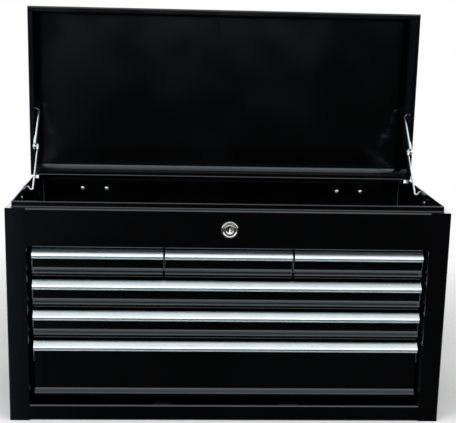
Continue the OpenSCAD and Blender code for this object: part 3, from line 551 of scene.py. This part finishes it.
lock_chrome = satin_metal(
    "lock_chrome",
    base=(0.78, 0.77, 0.76),
    shade=(0.66, 0.65, 0.64),
    roughness=0.14,
    streak=(900, 900, 900),
    spots=300,
    bump_depth=0.02 * mm,
)
lock_at, panel_y, lock_turns = (0, 278), -129, 96
barrel_r, barrel_end = 9.5, panel_y + 22
bezel_r, bezel_edge, bezel_face = 12, panel_y - 1.4, panel_y - 3
face_outer_r, face_inner_r, recess_r = 11.2, 9.6, 8.5
bore_r, bore_face = 7.05, panel_y - 2
bezel_section = np.array(
    [
        # radius, y, radius of the corner
        [barrel_r, barrel_end, 0.3],
        [barrel_r, panel_y, 0.1],
        [bezel_r, panel_y, 0.1],
        [bezel_r, bezel_edge, 0.8],
        [face_outer_r, bezel_face, 0.9],
        [face_inner_r, bezel_face, 0.6],
        [recess_r, bore_face, 0.3],
        [bore_r, bore_face, 0.1],
        [bore_r, barrel_end, 0.1],
    ]
)
bezel_outline = rounded_outline(bezel_section, steps=4, hold=0.05)
points, faces = turned_about_y(bezel_outline, lock_at, lock_turns)
make_piece("lock_bezel", points, faces, lock_chrome, "case", ["lock_housing"])

# The plug's rows run from the bottom of the keyway out over the dished face and back to its tail.
# A row is the keyway's outline times a share plus a circle of a radius, at the row's depth y.
keyway_w, keyway_h, keyway_bottom = 1.8, 8, panel_y + 12
plug_r, plug_face = 7, panel_y - 2.6
neck_r, neck_end = 4, barrel_end + 2.2
tail_r, tail_end = 5.5, barrel_end + 3.4
turn = np.linspace(0, 2 * np.pi, lock_turns, endpoint=False)
circle = np.stack([np.cos(turn), np.sin(turn)], 1)
slot_half = np.array([keyway_w / 2, keyway_h / 2])
slot_line = circle * np.min(slot_half / np.maximum(np.abs(circle), 1e-6), axis=1)[:, None]
plug_rows = np.array(
    [
        # share of the keyway's outline, radius of the circle, y
        [0, 0, keyway_bottom],
        [1, 0, keyway_bottom],
        [1, 0, plug_face + 1.5],
        [0.75, 0.8, plug_face + 1.2],
        [0.3, 2.9, plug_face + 0.9],
        [0, 4.6, plug_face + 0.7],
        [0, 5.3, plug_face + 0.1],
        [0, 5.7, plug_face],
        [0, 6.6, plug_face],
        [0, 6.9, plug_face + 0.12],
        [0, plug_r, plug_face + 0.4],
        [0, plug_r, barrel_end],
        [0, neck_r, barrel_end],
        [0, neck_r, neck_end],
        [0, tail_r, neck_end],
        [0, tail_r, tail_end],
        [0, 0, tail_end],
    ]
)
flat = plug_rows[:, :1, None] * slot_line + plug_rows[:, 1:2, None] * circle
plug_x, plug_z = lock_at[0] + flat[:, :, 0], lock_at[1] + flat[:, :, 1]
plug_y = np.repeat(plug_rows[:, 2:], lock_turns, 1)
make_piece(
    "lock_plug_face",
    np.stack([plug_x, plug_y, plug_z], 2).reshape(-1, 3),
    grid_faces(len(plug_rows), lock_turns),
    lock_chrome,
    "lock_barrel",
    ["lock_plug"],
    sharp=25,
)

# ---- Lid stays ----
# Each stay is two lengths of bright zinc-plated spring wire. The upper one is hooked into a bush in
# the lid, the lower one through the rim, and a rivet joins their eyes under a sleeve that slides
# down to lock.
bright_wire = satin_metal(
    "bright_wire",
    base=(0.7, 0.79, 0.81),
    shade=(0.6, 0.68, 0.71),
    roughness=0.2,
    streak=(900, 900, 60),
    spots=160,
)
wire_r, eye_r, eye_len, eye_steps = 1.4, 3.4, 7.5, 48
cap_angles, cap_depth, dome_steps = (0, 35, 65), 0.5, 7
# The stays' hooks as [y, z], in the rim and in the open lid.
rim_hook_off, rim_hook_up, lid_hook_off, lid_hook_up = 114.4, 4, 12, 108
stay_case = np.array([hinge_y - rim_hook_off, case_h + rim_hook_up])
stay_lid = np.array([hinge_y + lid_hook_off, hinge_z + lid_hook_up])
stay_elbow = (stay_case + stay_lid) / 2
along = (stay_lid - stay_case) / np.linalg.norm(stay_lid - stay_case)
square_to_stay = np.array([0, -along[1], along[0]])
x_axis = np.array([1.0, 0, 0])
both_sides = (("right", 1), ("left", -1))


def rounded_route(points, radius, steps=8):
    """A path in space whose inner corners become arcs: with m the unit vector in the plane of the
    turn, square to d1, a point is start + r m + r (d1 sin f - m cos f), for f from 0 to the angle
    of the turn."""
    points = np.asarray(points, float)
    way = np.diff(points, axis=0)
    way /= np.linalg.norm(way, axis=1)[:, None]
    d1, d2 = way[:-1], way[1:]
    cosine = (d1 * d2).sum(1)[:, None]
    angle = np.arccos(np.clip(cosine, -1, 1))
    across = d2 - d1 * cosine
    across /= np.linalg.norm(across, axis=1)[:, None]
    start = points[1:-1] - d1 * radius * np.tan(angle / 2)
    part = (angle * np.linspace(0, 1, steps + 1))[:, :, None]
    turned = across[:, None] * (1 - np.cos(part)) + d1[:, None] * np.sin(part)
    arcs = start[:, None] + radius * turned
    return np.concatenate([points[:1], arcs.reshape(-1, 3), points[-1:]])


def wire_along(route, lean, radius, turns=24, closed=False):
    """A round wire along a route. Each ring stands square to the route's direction t, on the unit
    vectors u = lean - t (lean . t) and t x u. Smaller rings dome the ends of an open wire."""
    if closed:
        t = np.roll(route, -1, 0) - np.roll(route, 1, 0)
    else:
        t = np.gradient(route, axis=0)
    t /= np.linalg.norm(t, axis=1)[:, None]
    u = lean - t * (t @ lean)[:, None]
    u /= np.linalg.norm(u, axis=1)[:, None]
    v = np.cross(t, u)
    size = np.full(len(route), radius)
    if not closed:
        dome = np.array(cap_angles)[:, None]
        caps = len(dome)
        shrink = np.cos(np.radians(90 - dome))
        push = radius * np.cos(np.radians(dome)) * cap_depth
        front, back = route[0] - t[0] * push, route[-1] + t[-1] * push[::-1]
        route = np.concatenate([front, route, back])
        size = np.concatenate([radius * shrink[:, 0], size, radius * shrink[::-1, 0]])
        u = np.concatenate([np.repeat(u[:1], caps, 0), u, np.repeat(u[-1:], caps, 0)])
        v = np.concatenate([np.repeat(v[:1], caps, 0), v, np.repeat(v[-1:], caps, 0)])
    angle = np.linspace(0, 2 * np.pi, turns, endpoint=False)[None, :, None]
    unit_rings = u[:, None] * np.cos(angle) + v[:, None] * np.sin(angle)
    rings = route[:, None] + size[:, None, None] * unit_rings
    return rings.reshape(-1, 3), grid_faces(len(route), turns, closed)


def in_plane(x, place):
    """A point in the plane at x from its [y, z]."""
    return np.array([x, place[0], place[1]])


def eye(x, centre, reach):
    """The loop of wire at the end of a stay's wire. With w square to the stay's direction a, a
    point is centre + eye_r (a cos f + w sin f), and the half that lies along a is stretched to
    reach."""
    angle = np.linspace(0, 2 * np.pi, eye_steps, endpoint=False)
    lengthwise = np.cos(angle) * np.where(np.cos(angle) * reach > 0, abs(reach), eye_r)
    sideways = eye_r * np.sin(angle)
    place = centre + along * lengthwise[:, None] + square_to_stay[1:] * sideways[:, None]
    ring = np.concatenate([np.full((eye_steps, 1), x), place], 1)
    return wire_along(ring, x_axis, wire_r, turns=20, closed=True)


def turned_about_x(outline, centre, turns=40):
    """Each [radius, x] of a closed outline is spun round an axis along X through [y, z]."""
    points, faces = turned_about_y(outline, (0, 0), turns)
    radial_y, x, radial_z = points.T
    return np.stack([x, centre[0] + radial_y, centre[1] + radial_z], 1), faces


def domed_button(low, high, dome):
    """The outline [radius, along] of a round rivet whose far end is a dome of that height."""
    angle = np.linspace(0, np.pi / 2, dome_steps)
    curve = np.stack([button_r * np.cos(angle), high - dome + dome * np.sin(angle)], 1)
    return np.concatenate([[[0, low], [button_r * 0.9, low], [button_r, low + 0.1]], curve])


# Where the wires lie along x, and how their ends are bent.
upper_x, lower_x, tail_x, bush_x = 291.0, 286.0, 298.85, 303.2
crank_out, crank_run, crank_r = 3.2, 4, 2.6
hook_out, hook_side, hook_drop, hook_run, hook_r = 6.6, 3.6, 6.5, 4, 2.4
tail_tilt, tail_len = math.radians(150), 6
button_r, button_h, shank_r, peened_h = 3.2, 1.25, 1.9, 0.8
inner_end, outer_end, shank_start = lower_x - wire_r, upper_x + wire_r, lower_x + 1.7
sleeve_bore_r, sleeve_r, sleeve_len, sleeve_gap, sleeve_turns = 1.45, 2.4, 16, 1, 40
sleeve_low = eye_r + wire_r + sleeve_gap
sleeve_high = sleeve_low + sleeve_len

tail_at = stay_case + tail_len * np.array([math.cos(tail_tilt), math.sin(tail_tilt)])
upper_route = rounded_route(
    [
        in_plane(bush_x, stay_lid),
        in_plane(upper_x + crank_out, stay_lid),
        in_plane(upper_x, stay_lid - along * crank_run),
        in_plane(upper_x, stay_elbow + along * eye_r),
    ],
    crank_r,
)
lower_route = rounded_route(
    [
        in_plane(tail_x, tail_at),
        in_plane(tail_x, stay_case),
        in_plane(lower_x + hook_out, stay_case),
        in_plane(lower_x + hook_side, stay_case - along * hook_drop),
        in_plane(lower_x, stay_case - along * hook_run),
        in_plane(lower_x, stay_elbow - along * eye_len),
    ],
    hook_r,
)
upper_wire = joined(
    wire_along(upper_route, square_to_stay, wire_r), eye(upper_x, stay_elbow, eye_r)
)
peened = domed_button(-(inner_end + 0.6), -(inner_end - peened_h), dome=peened_h)
lower_wire = joined(
    wire_along(lower_route, square_to_stay, wire_r),
    eye(lower_x, stay_elbow, -eye_len),
    turned_about_x(peened * [1, -1], stay_elbow),
)
shank = [[0, shank_start], [shank_r, shank_start], [shank_r, outer_end]]
head = domed_button(outer_end, outer_end + button_h, dome=0.9)[1:]
button = turned_about_x(np.concatenate([shank, head]), stay_elbow)

# The sleeve is an outline of [radius, distance up the wire], spun round the upper wire.
sleeve_section = np.array(
    [
        [sleeve_bore_r, sleeve_low, 0.3],
        [sleeve_r, sleeve_low, 0.5],
        [sleeve_r, sleeve_high, 0.5],
        [sleeve_bore_r, sleeve_high, 0.3],
    ]
)
sleeve_outline = rounded_outline(sleeve_section, steps=4, hold=0.05)
angle = np.linspace(0, 2 * np.pi, sleeve_turns, endpoint=False)[None, :, None]
axis = in_plane(upper_x, stay_elbow) + np.array([0, *along]) * sleeve_outline[:, 1:]
spokes = x_axis * np.cos(angle) + square_to_stay * np.sin(angle)
rings = axis[:, None] + sleeve_outline[:, :1, None] * spokes
sleeve = rings.reshape(-1, 3), grid_faces(len(sleeve_outline), sleeve_turns, True)

for side, mirror in both_sides:
    for piece, solid, (points, faces), body in (
        ("stay_wire_upper_", "stay_upper_", upper_wire, "stay_upper_"),
        ("stay_wire_lower_", "stay_lower_", lower_wire, "stay_lower_"),
        ("stay_button_", "stay_rivet_", button, "stay_upper_"),
        ("stay_tube_", "stay_sleeve_", sleeve, "stay_upper_"),
    ):
        make_piece(
            piece + side,
            points * [mirror, 1, 1],
            faces,
            bright_wire,
            body + side,
            [solid + side],
            sharp=50,
        )

# ---- Rivets and hinges ----
# Domed zinc-plated rivets hold the hinges and the handles. The hinges are rolled from plated strip
# round a pin, and lie outside the back, with their rivets' heads inside too.
zinc_plate = satin_metal(
    "zinc_plate",
    base=(0.72, 0.73, 0.74),
    shade=(0.56, 0.58, 0.6),
    roughness=0.26,
    streak=(700, 700, 700),
    spots=210,
)
dress(zinc_plate, "hinge_case_leaves", "hinge_lid_leaves", "hinge_pins")
dress(zinc_plate, "lock_nut", "lock_cam", "lid_bushes")
rivet_r, head_r, head_h = 1.9, 3.2, 1.4
leaf_t, handle_plate_t = 1.2, 1.5
hinge_x, hinge_rivet_half, hinge_rivet_off = 204, 19, 15.5
handle_rivet_y, handle_rivet_z = (-28, 28), (291, 261.5)


def rivet_outline(grip):
    """The outline [radius, along] of a rivet with a domed head outside each face that it grips."""
    angle = np.linspace(0, np.pi / 2, dome_steps)
    dome = np.stack([head_r * np.cos(angle), head_h * np.sin(angle)], 1)
    near = np.stack([dome[::-1, 0], -dome[::-1, 1]], 1)
    return np.concatenate([near, [[rivet_r, 0], [rivet_r, grip]], dome + [0, grip]])


def rivets(places, grip, turns=28):
    """Rivets along Y at several [x, y of the front face, z]: one is spun and set at each place."""
    points, faces = turned_about_y(rivet_outline(grip), (0, 0), turns)
    starts = np.arange(len(places)) * len(points)
    faces = np.array(faces)[None] + starts[:, None, None]
    points = points[None] + np.array(places, float)[:, None]
    return points.reshape(-1, 3), faces.reshape(-1, 4).tolist()


hinge_rivet_x = [s * hinge_x + k * hinge_rivet_half for s in (-1, 1) for k in (-1, 1)]
inside_back, inside_side = back_y - sheet_t, case_w / 2 - sheet_t
case_places = [[x, inside_back, hinge_z - hinge_rivet_off] for x in hinge_rivet_x]
lid_places = [[x, inside_back, hinge_z + hinge_rivet_off] for x in hinge_rivet_x]
side_places = [[-y, inside_side, z] for y in handle_rivet_y for z in handle_rivet_z]
# The side rivets are set down along Y and swapped to X, and the left ones mirror the right ones.
side_points, side_faces = rivets(side_places, sheet_t + handle_plate_t)
side_points = side_points[:, [1, 0, 2]]
points, faces = joined(
    rivets(case_places, sheet_t + leaf_t),
    (side_points, side_faces),
    (side_points * [-1, 1, 1], side_faces),
)
make_piece(
    "case_rivet_set", points, faces, zinc_plate, "case", ["case_rivets"], sharp=50
)
points, faces = rivets(lid_places, sheet_t + leaf_t)
make_piece(
    "lid_rivet_set",
    swung_open(points),
    faces,
    zinc_plate,
    "lid",
    ["hinge_lid_rivets"],
    sharp=50,
)

# ---- Side handles ----
# A black plate with two ears is riveted to each side. A plated rod, bent into a wide U, turns in
# the ears: it hangs down at rest and swings out when it is lifted.
handle_zinc = satin_metal(
    "handle_zinc",
    base=(0.7, 0.71, 0.72),
    shade=(0.56, 0.57, 0.59),
    roughness=0.24,
    streak=(60, 900, 900),
    spots=150,
)
dress(gloss_black, "handle_plates")
bail_x, bail_half, bail_end, bail_r, bail_bend_r = 311.5, 43, 50, 3, 3.6
handle_z, grip_z = 284, 246
bail_route = rounded_route(
    [
        [bail_x, -bail_end, handle_z],
        [bail_x, -bail_half, handle_z],
        [bail_x, -bail_half, grip_z],
        [bail_x, bail_half, grip_z],
        [bail_x, bail_half, handle_z],
        [bail_x, bail_end, handle_z],
    ],
    bail_bend_r,
)
points, faces = wire_along(bail_route, x_axis, bail_r, turns=28)
for side, mirror in both_sides:
    make_piece(
        "handle_rod_" + side,
        points * [mirror, 1, 1],
        faces,
        handle_zinc,
        "handle_" + side,
        ["handle_bail_" + side],
        sharp=50,
    )

# ---- Slides ----
# Cold-rolled steel rails on the case, runners on the drawers, and ball cages between them, which
# travel half as far as the drawers.
slide_steel = satin_metal(
    "slide_steel",
    base=(0.52, 0.53, 0.55),
    shade=(0.44, 0.45, 0.47),
    roughness=0.34,
    streak=(900, 12, 900),
    spots=60,
)
cage_zinc = satin_metal(
    "cage_zinc",
    base=(0.62, 0.61, 0.56),
    shade=(0.5, 0.49, 0.45),
    roughness=0.3,
    streak=(500, 500, 500),
    spots=120,
)
dress(slide_steel, "slide_rails_left", "slide_rails_right", "slide_rails_middle")
for drawer in pull_spans:
    dress(slide_steel, "runners_" + drawer)
    dress(cage_zinc, "ball_cages_" + drawer)
